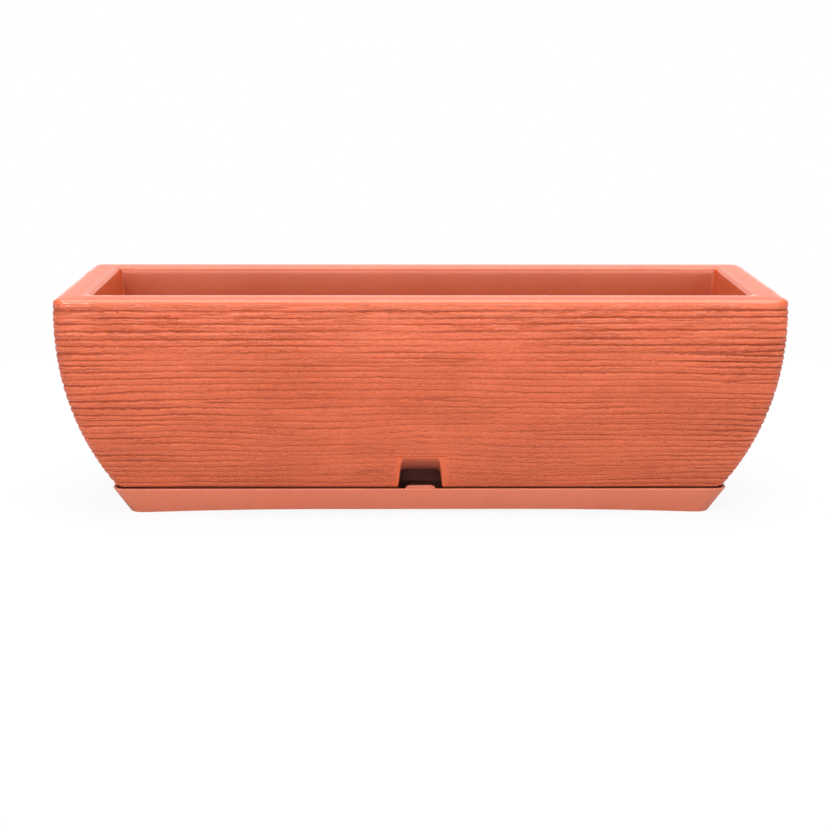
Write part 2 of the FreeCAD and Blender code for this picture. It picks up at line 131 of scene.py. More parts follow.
class Nodes:
    """The emptied node tree of a material or a world, with short ways to add nodes to it."""

    def __init__(self, owner: Any) -> None:
        """Empty the node tree of a material or a world.

        Args:
            owner: The material or world.
        """
        owner.use_nodes = True
        self.owner = owner
        self.tree = owner.node_tree
        self.tree.nodes.clear()

    def add(self, kind: str, settings: Optional[dict] = None, output: Union[int, str, None] = 0,
            **inputs: Any) -> Optional[Sum]:
        """Add a node.

        Args:
            kind: the node's type without "ShaderNode".
            settings: the node's own properties, set before its sockets.
            output: the output socket to return, or None for a node without one.
            inputs: values or sockets by input name, with _ for a space, or by s and an index.

        Returns:
            The chosen output as a Sum.
        """
        node = self.tree.nodes.new("ShaderNode" + kind)
        for key, setting in (settings or {}).items():
            setattr(node, key, setting)
        for key, content in inputs.items():
            entry = node.inputs[int(key[1:]) if key[1:].isdigit() else key.replace("_", " ")]
            if isinstance(content, Sum):
                self.tree.links.new(content.socket, entry)
            else:
                entry.default_value = (*content, 1.0) if entry.type == "RGBA" else content
        return None if output is None else Sum(self, node.outputs[output])

    def maths(self, operation: str, first: Term, second: Term, clip: bool = False) -> Sum:
        """Add a Math node on two terms."""
        return self.add("Math", {"operation": operation, "use_clamp": clip}, s0=first, s1=second)

    def blend(self, share: Term, first: Any, second: Any) -> Sum:
        """Mix two colours by a share from 0, the first, to 1, the second."""
        return self.add("Mix", {"data_type": "RGBA"}, 2, s0=share, s6=first, s7=second)

    def noise(self, place: Sum, scale: Union[float, Span], rough: float = 0.6, detail: float = 3.0) -> Sum:
        """Add a noise texture read at a place, with one scale or one for each of two axes."""
        if isinstance(scale, tuple):
            place, scale = self.add("Mapping", Vector=place, Scale=(*scale, 1.0)), 1.0
        return self.add("TexNoise", Vector=place, Scale=scale, Detail=detail, Roughness=rough)

    def split(self, place: Sum, axes: str) -> list[Sum]:
        """Take a place apart along the named axes."""
        return [self.add("SeparateXYZ", None, axis, Vector=place) for axis in axes]

    def finish(self, surface: Sum, output: str = "OutputMaterial") -> Any:
        """Send a shader to the output and return the material or the world."""
        self.add(output, None, None, Surface=surface)
        return self.owner


@dataclass(frozen=True)
class Skin:
    """What varies over a surface, its height being in millimetres."""

    colour: Sum
    roughness: Sum
    height: Sum


@dataclass(frozen=True)
class MouldedPlastic:
    """Satin terracotta plastic: a body colour, a darker one that comes in as faint mottles and a paler one
    that comes in as faint clouds of tone, with fine pitting from the mould. A piece's own detail may also
    use the two for painted shade and painted light."""

    name: str
    colour: Colour
    # The darker colour: mottles of tone, and in the grained plastic also fibres, pits and painted shade in
    # the grooves.
    hollow: Colour
    # The paler colour: clouds of tone, and in the grained plastic also painted light low on the walls and on
    # the grooves' lower lips.
    pale_tone_and_light: Colour
    roughness: float
    pitting: float
    shadow: Colour = (0.016, 0.0008, 0.0012)

    def material(self) -> bpy.types.Material:
        """Make the material.

        Returns:
            The finished material.
        """
        nodes = Nodes(bpy.data.materials.new(self.name))
        place = nodes.add("TexCoord", None, "Object")
        cloud = nodes.noise(place, 11.0, 0.55)
        mottle = nodes.noise(place, 75.0, 0.5)
        speck = nodes.noise(place, 620.0, 0.65)
        colour = nodes.blend(cloud.ramped(0.35, 0.65) * 0.4, self.colour, self.pale_tone_and_light)
        colour = nodes.blend(mottle.ramped(0.5, 0.8) * 0.08, colour, self.hollow)
        roughness = self.roughness + (mottle - 0.5) * 0.06 + (speck - 0.5) * 0.06
        skin = self.detail(nodes, place, Skin(colour, roughness, (speck + mottle) * self.pitting))
        bump = nodes.add("Bump", None, "Normal", Strength=1.0, Distance=1 * MM, Height=skin.height)
        return nodes.finish(nodes.add("BsdfPrincipled", Base_Color=skin.colour, Normal=bump, IOR=1.5,
                                      Roughness=skin.roughness.clipped()))

    def detail(self, nodes: Nodes, place: Sum, skin: Skin) -> Skin:
        """Return the skin with a piece's own detail in it, here none."""
        return skin


@dataclass(frozen=True)
class GrainedPlastic(MouldedPlastic):
    """The trough's plastic, with the walls' fine grain, which the mesh is too coarse to carry.

    The shares say how much of another colour comes in: the paler one as painted light low on the walls and
    as a painted highlight on the lower lips of the grooves, the darker one as painted shade in the lines and
    cracks and as tone in fibres and pits, and the shadow as painted shade.
    Up the walls, the gloss of the ridges comes in over "gloss_begin" and goes out again over
    "gloss_end"."""

    low_light_share: float = 0.5
    lip_highlight_share: float = 0.55
    groove_shade_share: float = 0.58
    fibre_share: float = 0.22
    pit_share: float = 0.4
    shadow_share: float = 0.96
    low_light_end: float = 100 * MM
    gloss_begin: Span = (120 * MM, 178 * MM)
    gloss_end: Span = (184 * MM, 196 * MM)

    def detail(self, nodes: Nodes, place: Sum, skin: Skin) -> Skin:
        """Add the grain.

        The mesh's values give the place between two grooves as a cosine and a sine, how deep
        the groove is cut, where the walls are grained, the cracks, how much light is kept out
        and where the rim's inner edge is smooth. The UV map runs round the walls and up them
        in metres. A jitter of the place makes the dark lines ragged, and where the noise
        "broken" is low they are weaker and others lie between the grooves.

        Args:
            nodes: The material's nodes.
            place: The place in the object, not used here.
            skin: The plain plastic.

        Returns:
            The plastic with the grain.
        """
        sheet = nodes.add("UVMap", {"uv_map": "walls"})
        cosine, sine, cut, grain, crack, shade, edge = (
            nodes.add("Attribute", {"attribute_name": name}, "Fac")
            for name in ("cosine", "sine", "cut", "grain", "crack", "shade", "edge"))
        fibre = nodes.noise(sheet, (60.0, 900.0))
        pit = nodes.noise(sheet, (360.0, 780.0))
        pitted = nodes.noise(sheet, (9.0, 30.0), 0.5, 2.0).ramped(0.42, 0.6)
        broken = nodes.noise(sheet, (28.0, 190.0)).ramped(0.3, 0.65)
        jitter = (nodes.noise(sheet, (190.0, 420.0), 0.65) - 0.5) * 3.4
        size = (cosine * cosine + sine * sine + 0.0001) ** 0.5
        near = (cosine - sine * jitter) / size
        lower = (-1.0 * sine - cosine * jitter) / size
        line = (near * 0.5 + 0.5).clipped() ** 8.0 * cut * (broken * 0.7 + 0.5)
        line = line + (near * near).clipped() ** 7.0 * cut * (1.0 - broken) * 0.8
        # lip is a painted highlight: the paler colour on each groove's upward-facing lower lip, where the
        # light from above falls.
        lip = (lower * 0.5 + 0.5).clipped() ** 4.0 * cut
        # dark is painted shade in the grooves and cracks: the darker colour comes in there and the roughness
        # rises.
        dark = (line * 0.9 + crack).clipped()
        level, = nodes.split(sheet, "Y")
        # low is painted light: towards the foot of the walls the paler colour comes in, standing for light
        # from the floor.
        low = 1.0 - level.ramped(0.0, self.low_light_end)
        band = level.ramped(*self.gloss_begin) * (1.0 - level.ramped(*self.gloss_end))
        gloss = nodes.noise(sheet, (24.0, 240.0), 0.6, 2.0).ramped(0.38, 0.54) * band
        rough = fibre.ramped(0.52, 0.75) * self.fibre_share + pit.ramped(0.5, 0.72) * self.pit_share
        colour = skin.colour
        # The layers: painted light low on the walls, painted highlights on the lips, painted shade in the
        # grooves, fibre and pit tone, and the mesh's painted shade.
        layers = ((low * self.low_light_share, self.pale_tone_and_light), (lip.clipped() * self.lip_highlight_share, self.pale_tone_and_light),
                  (dark * self.groove_shade_share, self.hollow), (rough * grain, self.hollow),
                  (shade * self.shadow_share, self.shadow))
        for share, other in layers:
            colour = nodes.blend(share, colour, other)
        fine = (fibre * 0.6 + pit * (pitted + 1.6)) * grain * (1.0 - gloss * 0.8)
        height = (skin.height + fine - line * 0.6 - crack * 0.7) * (1.0 - edge * 0.8)
        satin = gloss * (grain * 0.08 + 0.17) + edge * 0.18
        return Skin(colour, skin.roughness + grain * 0.10 - satin + dark * 0.3 + shade * 0.6, height)


@dataclass(frozen=True)
class TrayPlastic(MouldedPlastic):
    """The tray's plastic, darker down in the slots of its lugs, where little light comes.

    The slots lie between two distances behind the front of a lug, which leans outwards: it
    stands at "front" from the middle on the ground, and "lean" is its step per height."""

    front: float = 56.6 * MM
    lean: float = math.tan(math.radians(28))
    half_width: float = 12.2 * MM
    begin: float = 2.3 * MM
    end: float = 8.2 * MM
    bottom: float = 15 * MM
    soft: float = 0.3 * MM

    def detail(self, nodes: Nodes, place: Sum, skin: Skin) -> Skin:
        """Darken the slots.

        Args:
            nodes: The material's nodes.
            place: The place in the object.
            skin: The plain plastic.

        Returns:
            The plastic with dark slots.
        """
        along, across, level = nodes.split(place, "XYZ")
        behind = level * self.lean + self.front - abs(across)

        def past(value: Sum, edge: float) -> Sum:
            """Rise from 0 to 1 in a narrow band about an edge."""
            return value.ramped(edge - self.soft, edge + self.soft)

        slot = (past(behind, self.begin) * (1.0 - past(behind, self.end))
                * (1.0 - past(abs(along), self.half_width))
                * level.ramped(self.bottom - MM, self.bottom + MM))
        colour = nodes.blend(slot * 0.9, skin.colour, self.shadow)
        return Skin(colour, skin.roughness + slot * 0.3, skin.height)


# ---- the wood-like grain

@dataclass(frozen=True)
class Sheet:
    """The walls unrolled as a grid: the distance round them at each column and up them at each
    row, and the distance once round."""

    run: Array
    rise: Array
    girth: float

    def ripple(self, along: float, upward: float, seed: int, waves: int = 48) -> Array:
        """Work out a value for each row and column that wanders smoothly over the walls, about
        0 and mostly within 1.5, and changes over typical distances along and upward.

        It is a sum of cosines, each with a whole number of turns round the walls, a random
        climb and a random start. The cosine of a sum of angles is split into products, so the
        whole grid is two products of matrices.

        Args:
            along: Typical distance round the walls.
            upward: Typical distance up the walls.
            seed: Start of the random draws.
            waves: Number of cosines.

        Returns:
            The values by row and column.
        """
        draw = np.random.default_rng(seed)
        turns = np.rint(draw.normal(0.0, self.girth / along, waves))
        climbs = draw.normal(0.0, 1.0 / upward, waves)
        starts = draw.uniform(0.0, 2 * np.pi, waves)
        round_angle = 2 * np.pi * self.run[:, None] * turns / self.girth
        up_angle = 2 * np.pi * self.rise[:, None] * climbs + starts
        total = np.cos(up_angle) @ np.cos(round_angle).T - np.sin(up_angle) @ np.sin(round_angle).T
        return total * math.sqrt(2.0 / waves)


@dataclass(frozen=True)
class Crack:
    """A short dark line in the front's grain: where its ends stand along the front, its level
    and how dark it is. It sways a little up and down."""

    begin: float
    end: float
    level: float
    depth: float
    width: float = 0.75 * MM
    sway: float = 0.8 * MM

    def over(self, x: Array, level: Array) -> Array:
        """Return the crack on a grid: full in its middle, fading to its ends, and across it
        the bell of the distance over its width.

        Args:
            x: Distance along the front.
            level: Height of each point.

        Returns:
            The crack's depth, as a share of the deepest that a crack can be.
        """
        share = np.clip((x - self.begin) / (self.end - self.begin), 0, 1)
        slack = self.sway * np.sin(7 * share + 900 * self.level)
        across = (level - self.level - slack) / self.width
        return self.depth * np.sqrt(np.sin(np.pi * share)) * np.exp(-across ** 2)


@dataclass(frozen=True)
class Grain:
    """The relief of the walls: grooves that run round the trough, wander, fork and fade. A
    beat, as size, length and start, spaces them unevenly."""

    pitch: float = 5.74 * MM
    depth: float = 0.62 * MM
    deepest: float = 1.5 * MM
    sharpness: float = 2.6
    beats: Sequence[tuple[float, float, float]] = ((0.13, 47 * MM, 1.0), (0.08, 17 * MM, 0.5))
    fine_pitch: float = 2.4 * MM
    fine_share: float = 0.12
    forks: int = 26
    fork_reach: float = 16.0
    fork_drift: float = 1.5 * MM
    seed: int = 11
    cracks: Sequence[Crack] = ()
    crack_depth: float = 0.35 * MM

    def phase(self, sheet: Sheet) -> Array:
        """Count the grooves from the foot up, as a number that is whole in each groove.

        The count grows evenly with the height, but for the beats. Ripples make the grooves
        wander, little near the rim. A fork is a pair of opposite turns: round each of its two
        points the count grows or falls by one, so that one groove begins at the first point
        and ends at the second.

        Args:
            sheet: The grid on the walls.

        Returns:
            The count by row and column.
        """
        run, rise, girth, seed = sheet.run, sheet.rise, sheet.girth, self.seed
        beat = 0.5 + sum(size * np.sin(2 * np.pi * rise / length + start)
                         for size, length, start in self.beats)
        loose = (1 - 0.86 * step(0.5, 0.9, rise / rise[-1]))[:, None]
        wander = (1.5 * loose * sheet.ripple(0.40, 0.12, seed)
                  + 0.35 * loose * sheet.ripple(0.12, 0.04, seed + 1)
                  + 0.13 * sheet.ripple(0.045, 0.012, seed + 2)) * MM
        total = (rise / self.pitch + beat)[:, None] + wander / self.pitch
        draw = np.random.default_rng(seed + 3)
        middles = draw.uniform(0, girth, self.forks)
        lengths = draw.uniform(0.05, 0.30, self.forks)
        levels = draw.uniform(0.02, 0.8, self.forks) * rise[-1]
        drifts = draw.normal(0, self.fork_drift, self.forks)
        for middle, length, level, drift in zip(middles, lengths, levels, drifts):
            across = (run - middle + girth / 2) % girth - girth / 2
            for sign, shift, height in ((1, length / 2, level), (-1, -length / 2, level + drift)):
                climb = self.fork_reach * (rise[:, None] - height)
                total = total + sign * np.arctan2(climb, across + shift) / (2 * np.pi)
        return total

    def strength(self, sheet: Sheet, outward: Array) -> Array:
        """Work out how strongly the grooves are cut: a little uneven along each groove, strong
        near the rim and far outward, as a share of the half length, and faint in the lower
        middle.

        Args:
            sheet: The grid on the walls.
            outward: How far outward each column lies, as a share of the half length.

        Returns:
            The strength by row and column.
        """
        fading = 1.0 + 0.26 * sheet.ripple(0.20, 0.012, self.seed + 4)
        patches = 1.0 + 0.14 * sheet.ripple(0.22, 0.06, self.seed + 5)
        upper = (sheet.rise / sheet.rise[-1])[:, None]
        region = 0.38 + 0.30 * upper ** 1.5 + 0.58 * outward ** 2
        return np.clip(fading, 0.2, 1.5) * patches * region

    def hollow(self, sheet: Sheet, turns: Array, strength: Array) -> Array:
        """Work out the depth of the relief below the wall's smooth surface.

        A groove's section is half of one plus the cosine of the count's angle, raised to a
        power that narrows it. A finer set of grooves lies over the ridges.

        Args:
            sheet: The grid on the walls.
            turns: The angle of the count.
            strength: How strongly the grooves are cut.

        Returns:
            The depth in metres.
        """
        seed = self.seed
        groove = (0.5 + 0.5 * np.cos(2 * np.pi * turns)) ** self.sharpness
        wander = 0.8 * sheet.ripple(0.09, 0.02, seed + 6) + 0.4 * sheet.ripple(0.03, 0.006, seed + 7)
        fine = (0.5 + 0.5 * np.cos(2 * np.pi * (sheet.rise[:, None] / self.fine_pitch + wander))) ** 2
        fine = fine * np.clip(0.5 + 0.6 * sheet.ripple(0.06, 0.012, seed + 8), 0, 1)
        return np.clip(self.depth * (groove * strength + self.fine_share * fine), 0, self.deepest)


# ---- meshes

def grid_faces(rows: Array) -> Array:
    """Join neighbouring rows of a closed ring of columns with four-sided faces. The rows hold
    vertex numbers, in order outwards and up, and a face turns the way the columns rise."""
    ahead = np.roll(rows, -1, axis=1)
    return np.stack([rows[:-1], ahead[:-1], ahead[1:], rows[1:]], axis=-1).reshape(-1, 4)


def put(name: str, data: Any, place: Optional[Matrix] = None) -> bpy.types.Object:
    """Put a mesh, a lamp or a camera into the scene, at the origin or at a place.

    Args:
        name: The object's name.
        data: The mesh, lamp or camera.
        place: Where it goes, if not at the origin.

    Returns:
        The object.
    """
    item = bpy.data.objects.new(name, data)
    if place is not None:
        item.matrix_world = place
    bpy.context.scene.collection.objects.link(item)
    return item


def make_object(name: str, vertices: Array, faces: Array, sharp: float = 50.0) -> bpy.types.Object:
    """Make a smooth mesh object of four-sided faces, with edges sharper than an angle kept.

    Args:
        name: The object's name.
        vertices: A point for each row.
        faces: Four vertex numbers for each row.
        sharp: The angle in degrees.

    Returns:
        The object.
    """
    mesh = bpy.data.meshes.new(name)
    mesh.vertices.add(len(vertices))
    mesh.vertices.foreach_set("co", np.asarray(vertices, np.float32).ravel())
    mesh.loops.add(faces.size)
    mesh.loops.foreach_set("vertex_index", faces.astype(np.int32).ravel())
    mesh.polygons.add(len(faces))
    mesh.polygons.foreach_set("loop_start", np.arange(0, faces.size, 4, dtype=np.int32))
    mesh.update(calc_edges=True)
    mesh.validate()
    mesh.shade_smooth()
    mesh.set_sharp_from_angle(angle=math.radians(sharp))
    return put(name, mesh)


def unroll(piece: bpy.types.Object, run: Array, rise: Array, girth: float) -> None:
    """Give a piece a UV map of distances round and up, and carry the faces that close the
    ring on past the girth, so that they don't run backwards.

    Args:
        piece: The mesh object.
        run: Distance round, for each vertex.
        rise: Distance up, for each vertex.
        girth: Length of the whole ring.
    """
    vertex = np.empty(len(piece.data.loops), np.int32)
    piece.data.loops.foreach_get("vertex_index", vertex)
    ahead = run[vertex].reshape(-1, 4)
    closing = (np.ptp(ahead, axis=1) > girth / 2)[:, None] & (ahead < girth / 2)
    ahead = np.where(closing, ahead + girth, ahead).ravel()
    layer = piece.data.uv_layers.new(name="walls")
    layer.data.foreach_set("uv", np.stack([ahead, rise[vertex]], axis=1).astype(np.float32).ravel())


def step(low: float, high: float, at: Array) -> Array:
    """Rise smoothly from 0 at low to 1 at high: three times the square less twice the cube."""
    share = np.clip((at - low) / (high - low), 0, 1)
    return share * share * (3 - 2 * share)


# ---- the trough's rows and columns

class Strip:
    """Arrays of one length side by side, which are the fields of a data class."""

    def __getitem__(self, part: slice) -> "Strip":
        """Cut the same stretch out of every array."""
        return type(self)(*(getattr(self, item.name)[part] for item in fields(self)))

    @classmethod
    def joined(cls, parts: "Sequence[Strip]") -> "Strip":
        """Join stretches end to end."""
        return cls(*(np.concatenate([getattr(part, item.name) for part in parts]) for item in fields(cls)))


@dataclass(frozen=True)
class Rows(Strip):
    """Rows of the trough's surface, from the foot over the rim to the inner foot. An inset is
    a distance inwards from the widest outline, a corner the radius of the outline's corners
    and a tilt the angle of the outward normal above the horizontal."""

    inset: Array
    level: Array
    corner: Array
    tilt: Array


def straight_rows(begin: Sequence[float], end: Sequence[float], steps: int) -> Rows:
    """Make evenly spaced rows from one inset, level and corner to another."""
    inset, level, corner = np.linspace(begin, end, steps).T
    return Rows(inset, level, corner, np.zeros(steps))


def arc_rows(centre: Span, radius: float, begin: float, end: float, steps: int, corner: Span,
             outwards: bool = True) -> Rows:
    """Make rows at even angles along an arc of the section.

    Args:
        centre: the arc's centre as inset and level.
        radius: the arc's radius.
        begin, end: angles above the direction outwards.
        steps: the number of rows.
        corner: the corner radius at the first and the last row.
        outwards: whether the surface faces away from the centre.
    """
    angle = np.linspace(begin, end, steps)
    return Rows(centre[0] - radius * np.cos(angle), centre[1] + radius * np.sin(angle),
                np.linspace(*corner, steps), angle if outwards else angle + np.pi)


@dataclass(frozen=True)
class Columns(Strip):
    """Columns round the trough, as seen from above and against the clock. A column stands at
    the corner centres' distances times "corner", plus the pocket edge's distance times
    "beside", plus the corner's radius times "normal". The rest shapes a pocket: "hand" is the
    side of its middle, "share" and "shift" give the place from its half width, and "edge",
    "bend" and "deep" give the depth from the two roundings and the whole depth."""

    corner: Array
    beside: Array
    normal: Array
    hand: Array
    share: Array
    shift: Array
    edge: Array
    bend: Array
    deep: Array

    def half_turned(self) -> "Columns":
        """Return the columns turned by half a turn about the middle."""
        return replace(self, corner=-self.corner, beside=-self.beside, normal=-self.normal, hand=-self.hand)

    @classmethod
    def plain(cls, corner: Array, normal: Array) -> "Columns":
        """Make columns away from the walls that have pockets."""
        none = np.zeros(len(corner))
        return cls(corner, none, normal, *[none] * 6)

    @classmethod
    def round_corner(cls, side: float, angle: Array) -> "Columns":
        """Make columns round a corner on the right, in front (-1) or at the back (1)."""
        normal = np.stack([np.cos(angle), np.sin(angle)], axis=1)
        return cls.plain(np.tile([1.0, side], (len(angle), 1)), normal)


# ---- the trough

@dataclass
class Trough:
    """The barrel-walled trough with its grained outside, rim, lip, pockets and drains."""

    half_length: float
    half_depth: float
    base_level: float
    height: float
    wall_radius: float = 292 * MM
    widest_drop: float = 21 * MM
    corner: float = 10 * MM
    wall: float = 3.5 * MM
    base_round: float = 5 * MM
    rim_width: float = 27.6 * MM
    rim_outer_round: float = 4 * MM
    rim_inner_round: float = 3 * MM
    crown_line: float = 19 * MM
    crown_outer: float = 1.1 * MM
    crown_inner: float = 0.6 * MM
    lip_drop: float = 45 * MM
    lip_lean: float = math.radians(5)
    opening_corner: float = 3 * MM
    nest_level: float = 25.6 * MM
    nest_step: float = 0.7 * MM
    pocket_foot_level: float = 24 * MM
    pocket_foot_width: float = 37 * MM
    pocket_head_width: float = 31 * MM
    pocket_head_level: float = 55 * MM
    pocket_depth: float = 17.5 * MM
    pocket_scoop: float = 40 * MM
    pocket_corner: float = 4 * MM
    pocket_edge: float = 2.0 * MM
    pocket_draft: float = 0.3 * MM
    drain_radius: float = 5 * MM
    drain_ring: float = 11 * MM
    drain_pitch: float = 100 * MM
    drain_count: int = 5
    drained_half_length: float = 235 * MM
    drained_half_depth: float = 36 * MM
    row_gap: float = 0.72 * MM
    foot_rows: int = 5
    round_rows: int = 9
    flat_rows: int = 12
    edge_rows: int = 8
    lip_rows: Sequence[int] = (12, 2, 5, 3)
    inside_rows: int = 26
    side_columns: int = 38
    side_spread: float = 1.06
    end_columns: int = 28
    corner_columns: int = 7
    line_cells: int = 8
    grain: Grain = field(default_factory=Grain)
    grain_begin: Span = (9 * MM, 10.5 * MM)
    grain_margin: float = 2 * MM
    pocket_margin: float = 1.5 * MM
    pocket_dusk: float = 7 * MM
    nest_shade: float = 0.85
    nest_line: Sequence[float] = (-3.5 * MM, -2.0 * MM, -0.9 * MM, 0.7 * MM)
    lip_shade: float = 0.22
    lip_dusk: float = 9 * MM
    edge_end: Span = (2 * MM, 6 * MM)

    # ---- the section

    @property
    def widest_level(self) -> float:
        """Return the level where the walls stand upright."""
        return self.height - self.widest_drop

    def inset(self, level: float, offset: float = 0.0) -> float:
        """Return how far the wall lies inwards at a level: the arc's radius less the side of
        the triangle from its centre, for the wall or a surface offset inwards from it."""
        radius = self.wall_radius - offset
        return self.wall_radius - math.sqrt(radius ** 2 - (self.widest_level - level) ** 2)

    def touching(self, level: float, offset: float) -> tuple[Span, float]:
        """Return a point at a level on the surface offset from the wall, as inset and level,
        and the angle at which it is seen from the centre of the wall's arc. A rounding with
        that centre and the offset as its radius touches the wall at that angle."""
        inset = self.inset(level, offset)
        return (inset, level), math.atan2(level - self.widest_level, self.wall_radius - inset)

    def outer_rows(self) -> tuple[Rows, Array]:
        """Make the rows of the outside, from the foot to the flat of the rim. Below a level
        just above the tray's top edge the wall is set back a little.

        Returns:
            The rows, and the distance up the wall's arc of each row.
        """
        foot, low = self.touching(self.base_level + self.base_round, self.base_round)
        rim, high = self.touching(self.height - self.rim_outer_round, self.rim_outer_round)
        steps = round((high - low) * self.wall_radius / self.row_gap)
        under, over = self.corner - self.base_round, self.corner - self.rim_outer_round
        parts = (arc_rows(foot, self.base_round, -np.pi / 2, low, self.foot_rows, (under, self.corner))[:-1],
                 arc_rows((self.wall_radius, self.widest_level), self.wall_radius, low, high, steps,
                          (self.corner, self.corner)),
                 arc_rows(rim, self.rim_outer_round, high, np.pi / 2, self.round_rows,
                          (self.corner, over))[1:])
        rows = self.crowned(Rows.joined(parts))
        nested = self.nest_step * (1 - step(self.nest_level - 0.5 * MM, self.nest_level, rows.level))
        rise = (np.clip(rows.tilt, low, high) - low) * self.wall_radius
        return replace(rows, inset=rows.inset + nested), rise

    def rim_rows(self) -> tuple[Rows, int]:
        """Make the rows over the rim's flat, round its inner edge, down the lip, up the lip's
        back, below the rim and down the inside of the wall to the inner foot.

        Returns:
            The rows, and the number of the first one on the inside of the wall.
        """
        lean, thick = math.tan(self.lip_lean), self.wall / math.cos(self.lip_lean)
        edge_inset = self.rim_width + self.rim_inner_round * (lean - 1 / math.cos(self.lip_lean))
        edge_corner = (self.opening_corner + self.rim_inner_round, self.opening_corner)
        edge = arc_rows((edge_inset, self.height - self.rim_inner_round), self.rim_inner_round,
                        np.pi / 2, np.pi - self.lip_lean, self.edge_rows, edge_corner)
        flat = straight_rows((self.rim_outer_round, self.height, self.corner - self.rim_outer_round),
                             (edge.inset[0], self.height, edge.corner[0]), self.flat_rows)
        lip_foot, lip_level = self.rim_width + self.lip_drop * lean, self.height - self.lip_drop
        behind, under_rim = self.rim_width + self.wall * lean - thick, self.height - self.wall
        back_corner, core_corner = self.opening_corner + self.wall, self.corner - self.wall
        top, high = self.touching(under_rim, self.wall)
        turns = [(edge.inset[-1], edge.level[-1], self.opening_corner),
                 (lip_foot, lip_level, self.opening_corner), (lip_foot - thick, lip_level, back_corner),
                 (behind, under_rim, back_corner), (*top, core_corner)]
        straight = [straight_rows(*ends) for ends in zip(turns, turns[1:], self.lip_rows)]
        foot, low = self.touching(self.base_level + self.wall + self.base_round, self.wall + self.base_round)
        inside = arc_rows((self.wall_radius, self.widest_level), self.wall_radius - self.wall, high, low,
                          self.inside_rows, (core_corner, core_corner), False)
        bend = arc_rows(foot, self.base_round, low, -np.pi / 2, self.foot_rows,
                        (core_corner, core_corner - self.base_round + self.wall), False)
        rows = Rows.joined([flat[2:-1], edge, *(part[1:] for part in (*straight, inside, bend))])
        return self.crowned(rows), len(rows.level) - len(inside.level) - len(bend.level) + 1

    def crowned(self, rows: Rows) -> Rows:
        """Bend the rim's flat a little: from its highest line it falls off outwards and inwards
        with the square of the distance. The rows of the roundings follow by their height.

        Args:
            rows: The rows with a level rim.

        Returns:
            The rows with a bent rim.
        """
        away = rows.inset - self.crown_line
        drop = np.where(away < 0, self.crown_outer * (away / self.crown_line) ** 2,
                        self.crown_inner * (away / (self.rim_width - self.crown_line)) ** 2)
        near = step(self.height - self.rim_outer_round, self.height, rows.level)
        return replace(rows, level=rows.level - np.minimum(drop, self.crown_outer) * near)

    # ---- the plan

    def pocket_half_width(self, level: Array) -> Array:
        """Return half a pocket's width at a level: it narrows evenly up to the head."""
        flare = (self.pocket_foot_width - self.pocket_head_width) / 2
        flare = flare / (self.pocket_head_level - self.pocket_foot_level)
        level = np.clip(level, self.base_level, self.pocket_head_level)
        return self.pocket_head_width / 2 + flare * (self.pocket_head_level - level)

    def front_half(self, hand: float) -> Columns:
        """Lay out the columns of the front's right or left half, from the middle outwards, in
        four stretches: along the pocket's back, round its inner corner, round its edge and on
        to the trough's corner, where the gaps widen a little.

        Args:
            hand: 1 for the right half and -1 for the left.

        Returns:
            The half's columns.
        """
        back = np.linspace(0, 1, 5)[:-1]
        bend = 1 - np.sin(np.radians([90, 67.5, 45, 22.5, 0]))
        edge = 1 - np.cos(np.radians([90, 60, 30, 0]))
        plain = np.linspace(0, 1, self.side_columns + 1)[1:] ** self.side_spread
        reach = self.pocket_corner - self.pocket_draft
        corner_shift = -self.pocket_draft - reach * (1 - np.sqrt(1 - (1 - bend) ** 2))
        edge_shift = self.pocket_edge * (1 - np.sqrt(1 - (1 - edge) ** 2))

        def over(*values: Any) -> Array:
            """Join a number or an array for each of the four stretches."""
            return np.concatenate([np.full(len(part), value, float)
                                   for part, value in zip((back, bend, edge, plain), values)])

        out = over(0, 0, 0, plain)
        return Columns(corner=np.stack([hand * out, -np.ones(len(out))], axis=1),
                       beside=hand * over(0, 0, 0, 1 - plain), normal=np.tile([0.0, -1.0], (len(out), 1)),
                       hand=over(hand, hand, hand, 0), share=over(back, 1, 1, 0),
                       shift=over(-self.pocket_corner * back, corner_shift, edge_shift, 0),
                       edge=over(0, 0, edge, 0), bend=over(0, bend, 0, 0), deep=over(1, 1, 0, 0))

    def columns(self) -> Columns:
        """Lay out all the columns. They begin in the middle of the left corner at the back.

        Returns:
            The columns all the way round.
        """
        front = Columns.joined([self.front_half(-1.0)[:0:-1], self.front_half(1.0)])
        turn = np.linspace(0, np.pi / 2, self.corner_columns + 2)[1:-1]
        across = np.linspace(-1, 1, self.end_columns)
        end = Columns.plain(np.stack([np.ones(len(across)), across], axis=1),
                            np.tile([1.0, 0.0], (len(across), 1)))
        half = Columns.joined([front, Columns.round_corner(-1.0, turn - np.pi / 2), end,
                               Columns.round_corner(1.0, turn)])
        whole = Columns.joined([half, half.half_turned()])
        first = len(half.hand) + len(front.hand) + len(turn) // 2
        return Columns.joined([whole[first:], whole[:first]])

    def stand(self, rows: Rows, columns: Columns, growth: float = 0.0) -> Array:
        """Work out where the rows and the columns cross, with no pocket and no grain.

        A row's outline is a rectangle with rounded corners, moved inwards by its inset. The
        growth keeps the plain columns clear of the pockets' walls inside.

        Args:
            rows: Heights and insets.
            columns: The places round the walls.
            growth: How far the plain columns keep away.

        Returns:
            The points by row and column.
        """
        centre_x = (self.half_length - rows.inset - rows.corner)[:, None]
        centre_y = (self.half_depth - rows.inset - rows.corner)[:, None]
        radius = rows.corner[:, None]
        pocket = (self.pocket_half_width(rows.level) + self.pocket_edge + growth)[:, None]
        x = centre_x * columns.corner[:, 0] + pocket * columns.beside + radius * columns.normal[:, 0]
        inside = columns.hand * (columns.share * (pocket - self.pocket_edge) + columns.shift)
        x = np.where(columns.hand != 0, inside, x)
        y = centre_y * columns.corner[:, 1] + radius * columns.normal[:, 1]
        return np.stack([x, y, np.broadcast_to(rows.level[:, None], x.shape)], axis=-1)

    # ---- the pockets

